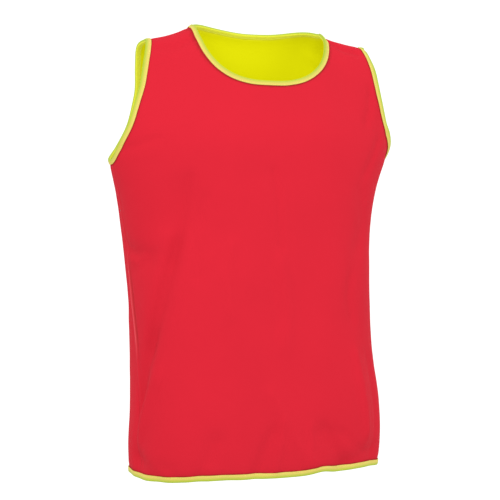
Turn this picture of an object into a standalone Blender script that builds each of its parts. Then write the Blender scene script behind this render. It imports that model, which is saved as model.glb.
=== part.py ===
"""Reversible mesh training bib, worn and hollow, built as the sewn pieces of the real one.

Metres, +Z up. The front faces -Y and the wearer's right side is at -X. The origin lies midway
between the high points of the shoulders, where the wearer carries the bib. Two layers of cloth
lie back to back in the front and in the back, and a folded tape binds the neck, both armholes
and the hem over both layers.

Every point of the cloth is found from a ring angle and a drop. The angle runs round the body
from the centre front, with +90 degrees at the wearer's left side seam and 180 at the centre
back. The drop is the distance down the cloth from the shoulder line.
"""

from math import cos, cosh, exp, log, pi, radians, sin, sqrt, tanh

import bmesh
import bpy
from mathutils import Vector
from mathutils.geometry import delaunay_2d_cdt

# Sizes of the bib
BODY_DROP = 0.722
NECK_HALF_WIDTH = 0.108
SHOULDER_TIP = 0.184
FRONT_NECK_DROP = 0.125
FRONT_NECK_ROUNDNESS = 2.6
BACK_NECK_DROP = 0.037
BACK_NECK_ROUNDNESS = 1.7
ARMHOLE_DROP = 0.216

# How the cloth rolls over the shoulder and falls from the neck to the shoulder tip
SHOULDER_ROLL = 0.035
SHOULDER_FALL = 0.026
SHOULDER_RUN = 0.075
SHOULDER_SAG = 0.070
NECK_RISE_RUN = 0.025
SHOULDER_FADE = 0.300
TILT_FADE = 0.100

# The cloth hangs a little higher at the wearer's left side
LIFT_ANGLE = 22.0
LIFT_SPREAD = 18.0

# Cloth, seams and tape
CLOTH = 0.0010
GAP = 0.0003
TAPE = 0.0010
TAPE_WIDTH = 0.0070
INNER_LAYER = CLOTH + GAP
STACK = 2.0 * CLOTH + GAP

# Fineness of the walls
EDGE_STEP = 0.020
COLUMN_STEP = radians(5.8)
ROW_STEP = 0.034
TOP_ROW_STEP = 0.011
TOP_REACH = 0.050
GIRTH_SCALE = 0.17
DROP_SCALE = 0.5

# Level sections of the worn form: name, drop, half width, front depth, back depth,
# forward lean, sway to the left, squareness, twist to the left in degrees, lift of the left side
SECTIONS = (
    ("shoulder line", 0.000, 0.236, 0.034, 0.056, 0.000, -0.0014, 0.000, 0.0, 0.0000),
    ("neck base", 0.030, 0.238, 0.043, 0.061, 0.000, -0.0012, 0.000, 0.0, 0.0000),
    ("collar bone", 0.070, 0.240, 0.056, 0.068, 0.002, -0.0016, 0.000, 0.0, 0.0012),
    ("upper chest", 0.120, 0.244, 0.072, 0.082, 0.006, -0.0038, -0.010, 0.0, 0.0066),
    ("underarm", 0.180, 0.2345, 0.092, 0.104, 0.016, -0.0044, 0.010, 0.0, 0.0132),
    ("chest", 0.250, 0.214, 0.094, 0.122, 0.020, -0.0084, 0.060, -1.0, 0.0116),
    ("ribs", 0.320, 0.203, 0.094, 0.130, 0.021, -0.0084, 0.065, -2.5, 0.0096),
    ("waist", 0.400, 0.1976, 0.097, 0.132, 0.019, -0.0060, 0.070, -1.0, 0.0082),
    ("belly", 0.500, 0.1968, 0.100, 0.131, 0.018, -0.0026, 0.070, 6.0, 0.0080),
    ("hip", 0.600, 0.203, 0.103, 0.128, 0.013, 0.0030, 0.070, 8.5, 0.0080),
    ("above hem", 0.660, 0.2052, 0.099, 0.128, 0.011, 0.0020, 0.075, 9.0, 0.0080),
    ("hem", 0.720, 0.200, 0.088, 0.128, 0.010, -0.0004, 0.080, 9.0, 0.0080),
)
SECTION_COLUMNS = {
    "half_width": 2,
    "front_depth": 3,
    "back_depth": 4,
    "lean": 5,
    "sway": 6,
    "squareness": 7,
    "twist": 8,
    "left_lift": 9,
}

# Uneven seat on the shoulders: name, place across, height
SHOULDER_TILT = (
    ("right tip", -0.184, 0.0012),
    ("right strap", -0.146, -0.0002),
    ("right neck point", -0.108, 0.0006),
    ("right side of the neck", -0.088, 0.0020),
    ("right of the nape", -0.050, 0.0014),
    ("nape", 0.000, 0.0000),
    ("left of the nape", 0.050, -0.0024),
    ("left neck point", 0.108, -0.0026),
    ("left strap", 0.146, 0.0014),
    ("left tip", 0.184, 0.0038),
)

# Waves of the hem: name, pattern angle in degrees, half width in degrees, height
HEM_WAVES = (
    ("right side", -68.0, 24.0, -0.0024),
    ("left of the middle", 12.0, 6.0, 0.0034),
)
HEM_WAVE_START = 0.600

# Armhole edge below the shoulder tip: name, share of the armhole drop, front angle, back angle
ARMHOLE = (
    ("behind the tip", 0.10, 51.7, 53.7),
    ("shoulder", 0.30, 54.6, 52.0),
    ("front of shoulder", 0.50, 57.4, 50.6),
    ("chest point", 0.72, 62.9, 53.2),
    ("scoop", 0.89, 74.2, 62.8),
    ("under the arm", 0.975, 82.0, 76.0),
    ("underarm", 1.00, 90.0, 90.0),
)

# Soft folds, each along a line on the cloth. Angles are in degrees from the front of the body:
# name, start angle, start drop, end angle, end drop, half width, height
FOLDS = (
    ("chest to right hip, trough", -39.0, 0.290, -76.0, 0.590, 0.019, -0.0040),
    ("chest to right hip, upper ridge", -56.0, 0.390, -68.0, 0.460, 0.016, 0.0022),
    ("chest to right hip, lower ridge", -58.0, 0.560, -74.0, 0.640, 0.018, 0.0025),
    ("right waist hollow", -84.0, 0.365, -60.0, 0.385, 0.018, -0.0030),
    ("right chest swell", -46.0, 0.170, -34.0, 0.250, 0.040, 0.0030),
    ("left chest swell", 20.0, 0.190, 26.0, 0.300, 0.034, 0.0020),
    ("middle ridge", 2.0, 0.330, 6.0, 0.500, 0.024, 0.0018),
    ("left waist trough", 44.0, 0.380, 38.0, 0.480, 0.018, -0.0020),
    ("left hip ridge", 40.0, 0.540, 46.0, 0.650, 0.018, 0.0025),
    ("front hem, right trough", -76.0, 0.670, -80.0, 0.710, 0.022, -0.0040),
    ("front hem, middle trough", -30.0, 0.670, -26.0, 0.710, 0.018, -0.0030),
    ("front hem, left trough", 24.0, 0.670, 30.0, 0.710, 0.018, -0.0030),
    ("left shoulder blade to waist", 140.0, 0.240, 108.0, 0.480, 0.022, -0.0035),
    ("right shoulder blade to waist", 214.0, 0.270, 248.0, 0.440, 0.020, -0.0030),
    ("small of the back", 160.0, 0.430, 206.0, 0.410, 0.024, -0.0040),
    ("back hip, left", 128.0, 0.520, 146.0, 0.640, 0.022, -0.0030),
    ("back hip, right", 222.0, 0.500, 210.0, 0.620, 0.022, 0.0030),
    ("back hem, middle trough", 184.0, 0.660, 178.0, 0.710, 0.020, -0.0035),
)

COLOURS = {
    "red": (0.753, 0.024, 0.044, 1.0),
    "yellow": (0.730, 0.730, 0.010, 1.0),
    "tape": (0.740, 0.740, 0.130, 1.0),
}


def smooth_at(places, values, spot):
    """Smooth curve through the values of a short table."""
    last = len(places) - 1
    low = 0
    while low < last - 1 and places[low + 1] <= spot:
        low += 1
    high = low + 1

    def slope(i):
        before = max(i - 1, 0)
        after = min(i + 1, last)
        return (values[after] - values[before]) / (places[after] - places[before])

    span = places[high] - places[low]
    t = min(max((spot - places[low]) / span, 0.0), 1.0)
    value = (2.0 * t**3 - 3.0 * t**2 + 1.0) * values[low]
    value += (t**3 - 2.0 * t**2 + t) * span * slope(low)
    value += (3.0 * t**2 - 2.0 * t**3) * values[high]
    value += (t**3 - t**2) * span * slope(high)
    return value


def from_rows(column, drop):
    """Smooth value of one column of the sections at a drop."""
    pick = SECTION_COLUMNS[column]
    return smooth_at([row[1] for row in SECTIONS], [row[pick] for row in SECTIONS], drop)


def fall(drop):
    """Height lost below the shoulder line after a drop along the cloth."""
    return SHOULDER_ROLL * log(cosh(drop / SHOULDER_ROLL))


def shoulder_height(x):
    """Height of the shoulder line, zero at the neck points."""
    whole = 1.0 - exp(-SHOULDER_RUN / SHOULDER_SAG)
    steepness = SHOULDER_FALL / SHOULDER_SAG / whole
    beyond = abs(x) - NECK_HALF_WIDTH
    if beyond > 0.0:
        return -SHOULDER_FALL * (1.0 - exp(-beyond / SHOULDER_SAG)) / whole
    return steepness * NECK_RISE_RUN * (1.0 - exp(beyond / NECK_RISE_RUN))


def shoulder_tilt(x):
    """Height added by the uneven seat on the shoulders."""
    return smooth_at([row[1] for row in SHOULDER_TILT], [row[2] for row in SHOULDER_TILT], x)


def hem_wave(angle, drop):
    """Height added by the waves of the hem."""
    total = 0.0
    for name, centre, half_width, height in HEM_WAVES:
        away = turn_between(angle, radians(centre)) / radians(half_width)
        total += height * exp(-(away**2))
    return total * eased((drop - HEM_WAVE_START) / (BODY_DROP - HEM_WAVE_START))


def squared(angle, squareness):
    """Factor that fills out a ring between its front and its side."""
    return 1.0 + squareness * sin(2.0 * angle) ** 2


def turn_between(angle, other):
    """Signed angle from one ring angle to another, the short way round."""
    return (angle - other + pi) % (2.0 * pi) - pi


def eased(t):
    """Smooth rise from 0 to 1."""
    t = min(max(t, 0.0), 1.0)
    return t * t * (3.0 - 2.0 * t)


def left_side(angle):
    """Share of the left side's lift at a ring angle, none at the right side."""
    turn = turn_between(angle, radians(LIFT_ANGLE))
    return 0.25 * (1.0 + tanh(turn / radians(LIFT_SPREAD))) * (1.0 + tanh(3.0 * (2.2 - turn)))


def fold_height(angle, drop):
    """Sum of the soft troughs and ridges at a point of the cloth."""
    total = 0.0
    for name, angle_1, drop_1, angle_2, drop_2, half_width, height in FOLDS:
        across = turn_between(angle, radians(angle_1)) * GIRTH_SCALE
        down = drop - drop_1
        run_across = radians(angle_2 - angle_1) * GIRTH_SCALE
        run_down = drop_2 - drop_1
        length = sqrt(run_across**2 + run_down**2)
        along = (across * run_across + down * run_down) / length
        aside = (across * run_down - down * run_across) / length
        beyond = max(-along, along - length, 0.0)
        total += height * exp(-((aside / half_width) ** 2) - (beyond / (1.6 * half_width)) ** 2)
    return total


def cloth_point(angle, drop):
    """Point on the outside of the outer layer."""
    down = fall(drop)
    wave = hem_wave(angle, drop)
    angle += radians(from_rows("twist", down))
    half_width = from_rows("half_width", down)
    lean = from_rows("lean", down)
    factor = squared(angle, from_rows("squareness", down))
    if cos(angle) >= 0.0:
        depth = from_rows("front_depth", down) + lean
    else:
        depth = from_rows("back_depth", down) - lean
    x = half_width * sin(angle) * factor
    y = tanh(drop / SHOULDER_ROLL) * (lean - depth * cos(angle) * factor)
    z = shoulder_height(x) * exp(-((drop / SHOULDER_FADE) ** 2)) - down
    z += shoulder_tilt(x) * exp(-((drop / TILT_FADE) ** 2)) + wave
    z += from_rows("left_lift", down) * left_side(angle)
    bulge = fold_height(angle, drop)
    return Vector((x + from_rows("sway", down) + bulge * sin(angle), y - bulge * cos(angle), z))


def cloth_slopes(angle, drop):
    """Change of the cloth point with the angle and with the drop."""
    step = 0.0005
    by_angle = (cloth_point(angle + step, drop) - cloth_point(angle - step, drop)) / (2.0 * step)
    by_drop = (cloth_point(angle, drop + step) - cloth_point(angle, drop - step)) / (2.0 * step)
    return by_angle, by_drop


def cloth_normal(angle, drop):
    """Outward direction of the cloth."""
    by_angle, by_drop = cloth_slopes(angle, drop)
    return by_drop.cross(by_angle).normalized()


def angle_at(x, drop):
    """Front ring angle where the form, before its sway, is x wide at a drop."""
    down = fall(drop)
    half_width = from_rows("half_width", down)
    squareness = from_rows("squareness", down)
    low, high = 0.0, pi / 2.0
    for _ in range(40):
        middle = 0.5 * (low + high)
        if half_width * sin(middle) * squared(middle, squareness) < x:
            low = middle
        else:
            high = middle
    return low


def ring_angle(side, turn):
    """Ring angle of a pattern angle on the front or the back."""
    return turn if side == "front" else pi - turn


def at(side, point):
    """Cloth point of a pattern point, which is a pattern angle and a drop."""
    return cloth_point(ring_angle(side, point[0]), point[1])


def neckline(side, share):
    """Pattern point of the neck edge, from the centre at 0 to the high shoulder point at 1."""
    drop, roundness = FRONT_NECK_DROP, FRONT_NECK_ROUNDNESS
    if side == "back":
        drop, roundness = BACK_NECK_DROP, BACK_NECK_ROUNDNESS
    turn = 0.5 * pi * share
    x = NECK_HALF_WIDTH * max(sin(turn), 0.0) ** (2.0 / roundness)
    down = drop * max(cos(turn), 0.0) ** (2.0 / roundness)
    return angle_at(x, down), down


def armhole(side, share):
    """Pattern point of the armhole edge, from the shoulder tip at 0 to the underarm at 1."""
    tip = angle_at(SHOULDER_TIP, 0.0)
    rows = {"front": [(tip, 0.0)], "back": [(tip, 0.0)]}
    for name, part, front_angle, back_angle in ARMHOLE:
        rows["front"].append((radians(front_angle), part * ARMHOLE_DROP))
        rows["back"].append((radians(back_angle), part * ARMHOLE_DROP))
    other = rows["back" if side == "front" else "front"]
    own = rows[side]
    before = (other[1][0], -other[1][1])
    after = (pi - other[-2][0], other[-2][1])
    knots = [before] + own + [after]
    place = min(share, 0.999999) * (len(own) - 1)
    i = int(place)
    t = place - i
    p0, p1, p2, p3 = knots[i : i + 4]
    result = []
    for k in (0, 1):
        value = 2.0 * p1[k] + (p2[k] - p0[k]) * t
        value += (2.0 * p0[k] - 5.0 * p1[k] + 4.0 * p2[k] - p3[k]) * t**2
        value += (3.0 * p1[k] - p0[k] - 3.0 * p2[k] + p3[k]) * t**3
        result.append(0.5 * value)
    return tuple(result)


def hemline(side, share):
    """Pattern point of the hem, from the centre at 0 to the side seam at 1."""
    return 0.5 * pi * share, BODY_DROP


def evenly(curve, side, step):
    """Pattern points along a curve, evenly spaced on the worn cloth but closer at the shoulder."""
    samples = 240
    points = [curve(side, i / samples) for i in range(samples + 1)]
    lengths = [0.0]
    for first, second in zip(points, points[1:]):
        closeness = 1.0 + 1.5 * exp(-((first[1] / TOP_REACH) ** 2))
        lengths.append(lengths[-1] + closeness * (at(side, second) - at(side, first)).length)
    count = max(2, round(lengths[-1] / step))
    picked = []
    k = 0
    for i in range(count + 1):
        target = lengths[-1] * i / count
        while k < samples - 1 and lengths[k + 1] < target:
            k += 1
        t = (target - lengths[k]) / (lengths[k + 1] - lengths[k])
        t = min(max(t, 0.0), 1.0)
        picked.append(tuple(points[k][j] * (1.0 - t) + points[k + 1][j] * t for j in (0, 1)))
    return picked


def stepped_in(side, points, i, distance):
    """Pattern point at a distance inside an edge, square to it on the worn cloth."""
    before = points[max(i - 1, 0)]
    after = points[min(i + 1, len(points) - 1)]
    along = (after[0] - before[0], after[1] - before[1])
    by_turn, by_drop = cloth_slopes(ring_angle(side, points[i][0]), points[i][1])
    if side == "back":
        by_turn = -by_turn
    e, f, g = by_turn.dot(by_turn), by_turn.dot(by_drop), by_drop.dot(by_drop)
    square = (f * along[0] + g * along[1], -(e * along[0] + f * along[1]))
    size = (by_turn * square[0] + by_drop * square[1]).length
    return (
        points[i][0] + square[0] * distance / size,
        points[i][1] + square[1] * distance / size,
    )


def seam_turn(drop):
    """Pattern angle of the side seam, half a gap short of the side."""
    by_angle, _ = cloth_slopes(0.5 * pi, drop)
    return 0.5 * pi - 0.5 * GAP / by_angle.length


def seam_drop(turn):
    """Drop of the shoulder seam, half a gap short of the shoulder line."""
    _, by_drop = cloth_slopes(turn, 0.0)
    return 0.5 * GAP / by_drop.length


def right_half(side):
    """Edges of half a panel as pattern points, each with its strip, 7 mm in, under the tape."""
    hem = evenly(hemline, side, EDGE_STEP)
    arm = evenly(armhole, side, EDGE_STEP)[::-1]
    neck = evenly(neckline, side, EDGE_STEP)[::-1]

    hem_strip = [stepped_in(side, hem, i, TAPE_WIDTH) for i in range(len(hem))]
    arm_strip = [stepped_in(side, arm, i, TAPE_WIDTH) for i in range(len(arm))]
    neck_strip = [stepped_in(side, neck, i, TAPE_WIDTH) for i in range(len(neck))]

    for edge, strip, end in ((hem, hem_strip, -1), (arm, arm_strip, 0)):
        edge[end] = (seam_turn(edge[end][1]), edge[end][1])
        strip[end] = (seam_turn(strip[end][1]), strip[end][1])
    for edge, strip, end in ((arm, arm_strip, -1), (neck, neck_strip, 0)):
        edge[end] = (edge[end][0], seam_drop(edge[end][0]))
        strip[end] = (strip[end][0], seam_drop(strip[end][0]))
    hem_strip[0] = (0.0, hem_strip[0][1])
    neck_strip[-1] = (0.0, neck_strip[-1][1])
    neck[-1] = (0.0, neck[-1][1])

    top, bottom = arm_strip[0][1], hem_strip[-1][1]
    rows = round((bottom - top) / ROW_STEP)
    side_seam = []
    for i in range(1, rows):
        drop = bottom + (top - bottom) * i / rows
        side_seam.append((seam_turn(drop), drop))
    tip_turn, neck_turn = arm_strip[-1][0], neck_strip[0][0]
    shoulder = []
    for i in range(1, 3):
        turn = tip_turn + (neck_turn - tip_turn) * i / 3.0
        shoulder.append((turn, seam_drop(turn)))
    return {
        "hem": (hem, hem_strip),
        "arm": (arm, arm_strip),
        "neck": (neck, neck_strip),
        "side_seam": side_seam,
        "shoulder": shoulder,
    }


def mirrored(points):
    """The same pattern points on the other half, in the opposite order."""
    return [(-turn, drop) for turn, drop in reversed(points)]


def inside(point, loop):
    """Whether a point of the flat plan lies inside a loop."""
    x, y = point
    result = False
    for (x1, y1), (x2, y2) in zip(loop, loop[1:] + loop[:1]):
        if (y1 > y) != (y2 > y) and x < (x2 - x1) * (y - y1) / (y2 - y1) + x1:
            result = not result
    return result


def distance_to(point, loop):
    """Shortest distance in the flat plan from a point to a loop."""
    best = 1.0
    here = Vector(point)
    for first, second in zip(loop, loop[1:] + loop[:1]):
        start, run = Vector(first), Vector(second) - Vector(first)
        t = min(max((here - start).dot(run) / max(run.dot(run), 1e-12), 0.0), 1.0)
        best = min(best, (here - start - run * t).length)
    return best


def plan(point):
    """Place of a pattern point in the flat plan that the cloth is divided on."""
    return point[0] * GIRTH_SCALE, point[1] * DROP_SCALE


def panel_net(side, half):
    """Triangles of a panel: its pattern points and the corners of each."""
    hem, hem_strip = half["hem"]
    arm, arm_strip = half["arm"]
    neck, neck_strip = half["neck"]
    right = hem[1:] + [hem_strip[-1]] + half["side_seam"] + [arm_strip[0]] + arm
    right += [arm_strip[-1]] + half["shoulder"] + [neck_strip[0]] + neck[:-1]
    outline = [hem[0]] + right + [neck[-1]] + mirrored(right)
    core_right = hem_strip[1:] + half["side_seam"] + arm_strip + half["shoulder"] + neck_strip[:-1]
    core = [hem_strip[0]] + core_right + [neck_strip[-1]] + mirrored(core_right)

    points = list(outline)
    number = {point: i for i, point in enumerate(points)}
    edges = []

    def index(point):
        if point not in number:
            number[point] = len(points)
            points.append(point)
        return number[point]

    for edge, strip in ((hem, hem_strip), (arm, arm_strip), (neck, neck_strip)):
        for sign in (1.0, -1.0):
            outer = [index((sign * turn, drop)) for turn, drop in edge]
            inner = [index((sign * turn, drop)) for turn, drop in strip]
            for i in range(len(outer)):
                edges.append((outer[i], inner[i]))
                if i + 1 < len(outer):
                    edges.append((inner[i], inner[i + 1]))
                    edges.append((outer[i], inner[i + 1]))

    flat_core = [plan(point) for point in core]
    drop = TOP_ROW_STEP
    row = 0
    while drop < BODY_DROP:
        column = -20
        while column <= 20:
            turn = COLUMN_STEP * (column + (0.5 if row % 2 else 0.0))
            flat = (turn * GIRTH_SCALE, drop * DROP_SCALE)
            if inside(flat, flat_core) and distance_to(flat, flat_core) > 0.0075:
                index((turn, drop))
            column += 1
        drop += ROW_STEP - (ROW_STEP - TOP_ROW_STEP) * exp(-((drop / TOP_REACH) ** 2))
        row += 1

    pairs = sorted({(min(pair), max(pair)) for pair in edges if pair[0] != pair[1]})
    flat = [Vector(plan(point)) for point in points]
    result = delaunay_2d_cdt(flat, pairs, [list(range(len(outline)))], 1, 1e-7)
    spots, triangles = result[0], result[2]
    found = [(spot.x / GIRTH_SCALE, spot.y / DROP_SCALE) for spot in spots]
    return found, [list(corners) for corners in triangles]


def material(name, colour, roughness):
    """Plain cloth material."""
    cloth = bpy.data.materials.new(name)
    cloth.use_nodes = True
    shader = cloth.node_tree.nodes["Principled BSDF"]
    shader.inputs["Base Color"].default_value = colour
    shader.inputs["Roughness"].default_value = roughness
    shader.inputs["Metallic"].default_value = 0.0
    return cloth


def add_object(name, mesh, cloth, collection):
    """Object of a mesh, shaded smooth, in its material."""
    mesh.shade_smooth()
    mesh.set_sharp_from_angle(angle=radians(50.0))
    mesh.materials.append(cloth)
    piece = bpy.data.objects.new(name, mesh)
    collection.objects.link(piece)
    return piece


def add_panel(name, side, net, depth, cloth, collection):
    """One layer of the front or the back, its outside at a depth under the cloth points."""
    points, triangles = net
    shape = bmesh.new()
    place = shape.verts.layers.int.new("place")
    outside = []
    for i, (turn, drop) in enumerate(points):
        angle = ring_angle(side, turn)
        spot, normal = cloth_point(angle, drop), cloth_normal(angle, drop)
        outside.append(spot - normal * depth)
        corner = shape.verts.new(spot - normal * (depth + CLOTH))
        corner[place] = i
    shape.verts.ensure_lookup_table()
    for triangle in triangles:
        shape.faces.new([shape.verts[i] for i in triangle])
    walls = bmesh.ops.extrude_face_region(shape, geom=list(shape.faces))
    for corner in walls["geom"]:
        if isinstance(corner, bmesh.types.BMVert):
            corner.co = outside[corner[place]]
    bmesh.ops.recalc_face_normals(shape, faces=shape.faces)
    shape.verts.layers.int.remove(place)
    mesh = bpy.data.meshes.new(name)
    shape.to_mesh(mesh)
    shape.free()
    return add_object(name, mesh, cloth, collection)


def tape_section(edge, edge_normal, outward, strip, strip_normal):
    """Corners of the folded tape where it wraps the edge of both layers."""
    top = GAP + TAPE
    bottom = -(STACK + GAP + TAPE)
    middle = 0.5 * (top + bottom)
    half = 0.5 * (top - bottom)
    slant = sqrt(0.5)
    corners = [strip + strip_normal * top, edge + edge_normal * top]
    corners.append(edge + outward * (slant * top) + edge_normal * (middle + slant * half))
    corners.append(edge + outward * top + edge_normal * middle)
    corners.append(edge + outward * (slant * top) + edge_normal * (middle - slant * half))
    corners += [edge + edge_normal * bottom, strip + strip_normal * bottom]
    corners += [strip - strip_normal * (STACK + GAP), edge - edge_normal * (STACK + GAP)]
    corners += [edge + outward * GAP - edge_normal * STACK, edge + outward * GAP]
    corners += [edge + edge_normal * GAP, strip + strip_normal * GAP]
    return corners


def snapped(point):
    """The point itself, or its place exactly on a seam when it lies beside one."""
    angle, drop = point
    for side in (0.5 * pi, 1.5 * pi, -0.5 * pi):
        if abs(angle - side) < 0.01:
            angle = side
    return angle, (0.0 if drop < 0.001 else drop)


def stations(side, pair, sign):
    """Stations of a tape along half an edge: edge point, strip point and rank along the half."""
    result = []
    last = len(pair[0]) - 1
    for i, (edge, strip) in enumerate(zip(*pair)):
        rank = i if i < last else 1000
        edge_at = snapped((ring_angle(side, sign * edge[0]), edge[1]))
        strip_at = snapped((ring_angle(side, sign * strip[0]), strip[1]))
        result.append((edge_at, strip_at, rank))
    return result


def closed_loop(parts):
    """Stations of the parts in turn, each shared place once."""
    result = []
    for station in [station for part in parts for station in part]:
        place = cloth_point(*station[0])
        if not result or (cloth_point(*result[-1][0]) - place).length > 0.0001:
            result.append(station)
    if (cloth_point(*result[-1][0]) - cloth_point(*result[0][0])).length < 0.0001:
        result.pop()
    return result


def add_tape(name, loop, cloth, collection):
    """Closed ring of folded tape over the stations of a loop."""
    count = len(loop)
    places = [cloth_point(*station[0]) for station in loop]
    shape = bmesh.new()
    rings = []
    for i, (edge_at, strip_at, rank) in enumerate(loop):
        edge, strip = places[i], cloth_point(*strip_at)
        edge_normal, strip_normal = cloth_normal(*edge_at), cloth_normal(*strip_at)
        along = places[(i + 1) % count] - places[i - 1]
        outward = along.cross(edge_normal).normalized()
        if outward.dot(edge - strip) < 0.0:
            outward.negate()
        section = tape_section(edge, edge_normal, outward, strip, strip_normal)
        rings.append([shape.verts.new(corner) for corner in section])
    sides = len(rings[0])
    for i in range(count):
        here, there = rings[i], rings[(i + 1) % count]
        rising = loop[i][2] < loop[(i + 1) % count][2]
        for k in range(sides):
            m = (k + 1) % sides
            from_edge = k not in (0, 7)
            if from_edge == rising:
                shape.faces.new((here[k], here[m], there[m]))
                shape.faces.new((here[k], there[m], there[k]))
            else:
                shape.faces.new((here[k], here[m], there[k]))
                shape.faces.new((here[m], there[m], there[k]))
    bmesh.ops.recalc_face_normals(shape, faces=shape.faces)
    mesh = bpy.data.meshes.new(name)
    shape.to_mesh(mesh)
    shape.free()
    return add_object(name, mesh, cloth, collection)


def main():
    for item in list(bpy.data.objects):
        bpy.data.objects.remove(item, do_unlink=True)
    collection = bpy.data.collections.new("mesh_training_bib")
    bpy.context.scene.collection.children.link(collection)

    red = material("red_cloth", COLOURS["red"], 0.85)
    yellow = material("yellow_cloth", COLOURS["yellow"], 0.85)
    tape = material("binding_tape", COLOURS["tape"], 0.70)

    halves = {side: right_half(side) for side in ("front", "back")}
    for side in ("front", "back"):
        net = panel_net(side, halves[side])
        add_panel(side + "_outer", side, net, 0.0, red, collection)
        add_panel(side + "_inner", side, net, INNER_LAYER, yellow, collection)

    part = {}
    for side in ("front", "back"):
        for edge in ("neck", "hem", "arm"):
            part[side, edge, "left"] = stations(side, halves[side][edge], 1.0)
            part[side, edge, "right"] = stations(side, halves[side][edge], -1.0)

    for name, edge in (("neck_binding", "neck"), ("hem_binding", "hem")):
        loop = [part["front", edge, "left"], part["front", edge, "right"][::-1]]
        loop += [part["back", edge, "right"], part["back", edge, "left"][::-1]]
        if edge == "hem":
            loop = [piece[::-1] for piece in loop]
        add_tape(name, closed_loop(loop), tape, collection)

    for hand in ("left", "right"):
        loop = [part["front", "arm", hand], part["back", "arm", hand][::-1]]
        add_tape("armhole_binding_" + hand, closed_loop(loop), tape, collection)


main()
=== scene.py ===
"""Looks of the reversible mesh training bib: knit cloth in two layers, folded binding tape and
its sewing, worn and hollow.

Metres, +Z up, in the frame of the CAD. A point of the cloth is found from a ring angle and a
drop. The angle runs round the body from the centre front, with +90 degrees at the wearer's left
side seam and 180 at the centre back. The drop is the distance down the cloth from the shoulder
line. A pattern angle runs from the centre of the front or of the back to the side seams.
"""

from math import cos, pi, radians, sin

import bmesh
import bpy
import numpy as np
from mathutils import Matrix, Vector, noise
from mathutils.geometry import delaunay_2d_cdt


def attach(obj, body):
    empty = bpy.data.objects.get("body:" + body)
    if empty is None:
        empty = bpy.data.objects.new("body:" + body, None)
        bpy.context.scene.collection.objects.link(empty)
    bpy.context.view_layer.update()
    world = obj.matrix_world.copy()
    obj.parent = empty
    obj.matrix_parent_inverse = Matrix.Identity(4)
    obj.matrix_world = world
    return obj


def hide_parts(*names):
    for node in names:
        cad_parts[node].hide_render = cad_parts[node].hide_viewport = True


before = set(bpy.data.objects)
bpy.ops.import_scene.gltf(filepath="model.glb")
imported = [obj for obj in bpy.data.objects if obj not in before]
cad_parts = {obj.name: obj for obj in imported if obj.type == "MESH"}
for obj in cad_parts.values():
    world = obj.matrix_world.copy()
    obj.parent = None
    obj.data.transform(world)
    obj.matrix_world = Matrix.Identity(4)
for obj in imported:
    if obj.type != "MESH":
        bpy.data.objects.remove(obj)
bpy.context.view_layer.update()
bpy.ops.object.select_all(action="DESELECT")

# Sizes of the bib, as in the CAD
BODY_DROP = 0.722
NECK_HALF_WIDTH = 0.108
SHOULDER_TIP = 0.184
FRONT_NECK_DROP = 0.125
FRONT_NECK_ROUNDNESS = 2.6
BACK_NECK_DROP = 0.037
BACK_NECK_ROUNDNESS = 1.7
ARMHOLE_DROP = 0.216
SHOULDER_ROLL = 0.035
SHOULDER_FALL = 0.026
SHOULDER_RUN = 0.075
SHOULDER_SAG = 0.070
NECK_RISE_RUN = 0.025
SHOULDER_FADE = 0.300
TILT_FADE = 0.100
LIFT_ANGLE = 22.0
LIFT_SPREAD = 18.0
CLOTH = 0.0010
GAP = 0.0003
SEWN_GAP = 0.00004
TAPE_WIDTH = 0.0070
INNER_LAYER = CLOTH + GAP
STACK = 2.0 * CLOTH + GAP
GIRTH_SCALE = 0.17

# Fineness of the cloth and of the tape
CELL = 0.0042
SEAM_STEPS = (0.0008, 0.0018, 0.0031, 0.0046, 0.0062, 0.0079)
PINCH_STEPS = (0.0007, 0.0019, 0.0034)
PINCH_REACH = 0.0015
PINCH_DEPTH = 0.0008
# Painted shade on the cloth: a dark line where the tape bites in, and a dark line along the shoulder seam that
# is partly a darker seam and partly painted shade where the cloth turns over the crest
TAPE_SHADE_PLACE = 0.0002
TAPE_SHADE_HALF_WIDTH = 0.0013
SEAM_LINE_AND_SHADE_HALF_WIDTH = 0.0018
SEAM_LINE_AND_SHADE_SHARE = 0.45
# Spacing of the tape's rings along its edges
TAPE_STEP = 0.0022

# Level sections of the worn form: name, drop, half width, front depth, back depth,
# forward lean, sway to the left, squareness, twist to the left in degrees, lift of the left side
SECTIONS = (
    ("shoulder line", 0.000, 0.236, 0.034, 0.056, 0.000, -0.0014, 0.000, 0.0, 0.0000),
    ("neck base", 0.030, 0.238, 0.043, 0.061, 0.000, -0.0012, 0.000, 0.0, 0.0000),
    ("collar bone", 0.070, 0.240, 0.056, 0.068, 0.002, -0.0016, 0.000, 0.0, 0.0012),
    ("upper chest", 0.120, 0.244, 0.072, 0.082, 0.006, -0.0038, -0.010, 0.0, 0.0066),
    ("underarm", 0.180, 0.2345, 0.092, 0.104, 0.016, -0.0044, 0.010, 0.0, 0.0132),
    ("chest", 0.250, 0.214, 0.094, 0.122, 0.020, -0.0084, 0.060, -1.0, 0.0116),
    ("ribs", 0.320, 0.203, 0.094, 0.130, 0.021, -0.0084, 0.065, -2.5, 0.0096),
    ("waist", 0.400, 0.1976, 0.097, 0.132, 0.019, -0.0060, 0.070, -1.0, 0.0082),
    ("belly", 0.500, 0.1968, 0.100, 0.131, 0.018, -0.0026, 0.070, 6.0, 0.0080),
    ("hip", 0.600, 0.203, 0.103, 0.128, 0.013, 0.0030, 0.070, 8.5, 0.0080),
    ("above hem", 0.660, 0.2052, 0.099, 0.128, 0.011, 0.0020, 0.075, 9.0, 0.0080),
    ("hem", 0.720, 0.200, 0.088, 0.128, 0.010, -0.0004, 0.080, 9.0, 0.0080),
)
SECTION_COLUMNS = {
    "half_width": 2,
    "front_depth": 3,
    "back_depth": 4,
    "lean": 5,
    "sway": 6,
    "squareness": 7,
    "twist": 8,
    "left_lift": 9,
}

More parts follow.
